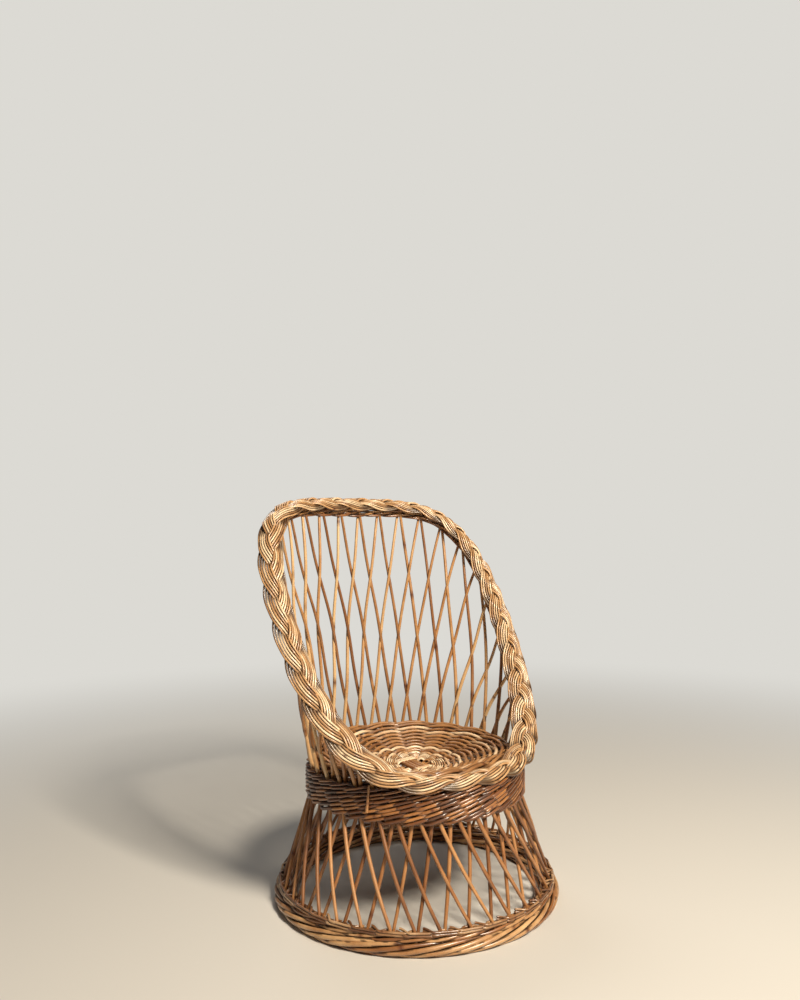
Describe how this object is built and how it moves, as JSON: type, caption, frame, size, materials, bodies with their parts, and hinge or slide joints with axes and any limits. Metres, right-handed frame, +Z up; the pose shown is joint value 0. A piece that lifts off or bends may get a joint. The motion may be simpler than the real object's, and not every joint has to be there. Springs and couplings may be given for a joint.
{
  "type": "child's wicker tub armchair",
  "caption": "Child's woven willow tub chair: round dished seat on a flared open lattice skirt, open lattice back sloping down to the front, and a plaited border round the rim.",
  "frame": {"origin": "on the floor, on the chair's axis under the middle of the seat", "axes": "+Z up, -Y the way that the chair faces, +X the sitter's left"},
  "size_m": [0.416, 0.4, 0.5628],
  "materials": {
    "foot_willow": "aged mid-brown willow, satin",
    "skirt_willow": "aged orange-brown willow, satin",
    "apron_willow": "aged orange-brown willow, satin",
    "seat_willow": "tan willow, satin",
    "back_willow": "tan to orange-brown willow, satin",
    "border_willow": "pale straw willow, satin"
  },
  "bodies": {
    "root": {"foot_border": "foot_willow", "foot_wale_outer": "foot_willow", "foot_wale_inner": "foot_willow", "skirt_lattice_01": "skirt_willow", "skirt_lattice_02": "skirt_willow", "skirt_lattice_03": "skirt_willow", "skirt_lattice_04": "skirt_willow", "skirt_lattice_05": "skirt_willow", "skirt_lattice_06": "skirt_willow", "skirt_lattice_07": "skirt_willow", "skirt_lattice_08": "skirt_willow", "skirt_lattice_09": "skirt_willow", "skirt_lattice_10": "skirt_willow", "skirt_lattice_11": "skirt_willow", "skirt_lattice_12": "skirt_willow", "skirt_lattice_13": "skirt_willow", "skirt_lattice_14": "skirt_willow", "skirt_lattice_15": "skirt_willow", "skirt_lattice_16": "skirt_willow", "skirt_lattice_17": "skirt_willow", "skirt_lattice_18": "skirt_willow", "apron_wale_outer": "apron_willow", "apron_wale_inner": "apron_willow", "seat_weave_top": "seat_willow", "seat_weave_under": "seat_willow", "seat_stick_long_1": "border_willow", "seat_stick_long_2": "border_willow", "seat_stick_long_3": "border_willow", "seat_stick_long_4": "border_willow", "seat_stick_cross_1": "border_willow", "seat_stick_cross_2": "border_willow", "seat_stick_cross_3": "border_willow", "seat_stick_cross_4": "border_willow", "back_lattice_01": "back_willow", "back_lattice_02": "back_willow", "back_lattice_03": "back_willow", "back_lattice_04": "back_willow", "back_lattice_05": "back_willow", "back_lattice_06": "back_willow", "back_lattice_07": "back_willow", "back_lattice_08": "back_willow", "back_lattice_09": "back_willow", "back_lattice_10": "back_willow", "back_lattice_11": "back_willow", "back_lattice_12": "back_willow", "back_lattice_13": "back_willow", "top_wale_outer": "apron_willow", "top_wale_inner": "apron_willow", "border_strand_1": "border_willow", "border_strand_2": "border_willow", "border_strand_3": "border_willow", "border_tail": "back_willow"}
  },
  "joints": []
}
